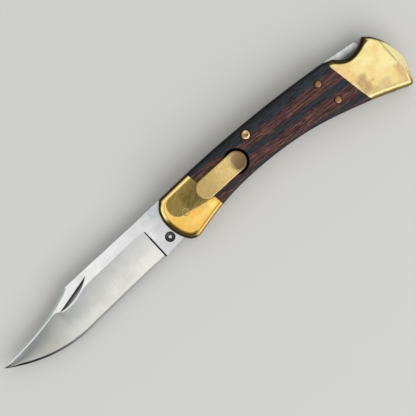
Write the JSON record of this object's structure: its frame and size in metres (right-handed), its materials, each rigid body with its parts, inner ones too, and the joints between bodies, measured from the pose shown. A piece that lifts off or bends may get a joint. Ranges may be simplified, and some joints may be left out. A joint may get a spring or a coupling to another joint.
{
  "type": "folding pocket knife",
  "caption": "Open lockback folding knife with clip-point blade, brass bolsters, laminated wood handle, lock bar along the back and a rocking release lever for its spring-opened blade.",
  "frame": {"origin": "on the blade's pivot axis, level with the flat outer face of the pile side, which the knife lies on", "axes": "+X from the pivot to the butt, so the open blade points along -X; +Y from the belly to the back, where the lock bar is; +Z out of the show side, with the release lever"},
  "size_m": [0.2183, 0.0319, 0.0169],
  "materials": {
    "bolster_brass": "polished, with dull brown tarnish in patches",
    "laminated_wood": "satin, red-brown and blue-black layers along the handle",
    "liner_brass": "satin",
    "pin_brass": "polished",
    "lever_brass": "brushed matte",
    "blade_steel": "satin flats, hollow ground",
    "bar_steel": "brushed",
    "spring_steel": "plain"
  },
  "bodies": {
    "handle": {"front_bolster_show": "bolster_brass", "front_bolster_pile": "bolster_brass", "rear_bolster_show": "bolster_brass", "rear_bolster_pile": "bolster_brass", "scale_show": "laminated_wood", "scale_pile": "laminated_wood", "liner_show": "liner_brass", "liner_pile": "liner_brass", "pivot_pin": "pin_brass", "rocker_pin": "pin_brass", "scale_rivet_show_upper": "pin_brass", "scale_rivet_show_lower": "pin_brass", "scale_rivet_pile_upper": "pin_brass", "scale_rivet_pile_lower": "pin_brass", "lever_saddle": "lever_brass", "rear_spacer": "bar_steel", "lock_spring": "spring_steel", "kick_spring": "spring_steel", "lever_spring": "spring_steel", "lever_pin": "spring_steel", "spacer_pin_upper": "spring_steel", "spacer_pin_lower": "spring_steel"},
    "blade": {"blade": "blade_steel"},
    "lock_bar": {"lock_bar": "bar_steel"},
    "release_lever": {"release_lever": "lever_brass", "sear_pin": "spring_steel"}
  },
  "joints": [
    {"name": "blade_pivot", "type": "hinge", "parent": "handle", "child": "blade", "pos_m": [0, 0, 0.0075], "axis": [0, 0, 1], "range_deg": [0, 173], "stiffness_Nm_per_rad": 0.02, "springref_deg": -34.38, "deforming": ["kick_spring"]},
    {"name": "lock_bar_rock", "type": "hinge", "parent": "handle", "child": "lock_bar", "pos_m": [0.0404, 0.011, 0.0075], "axis": [0, 0, -1], "range_deg": [0, 3.4], "stiffness_Nm_per_rad": 0.3, "springref_deg": -2.86, "deforming": ["lock_spring"]},
    {"name": "release_lever_rock", "type": "hinge", "parent": "handle", "child": "release_lever", "pos_m": [0.02165, 0.00338, 0.013], "axis": [-0.0889, 0.996, 0], "range_deg": [0, 7], "stiffness_Nm_per_rad": 0.01, "springref_deg": -2.86, "deforming": ["lever_spring"]}
  ]
}
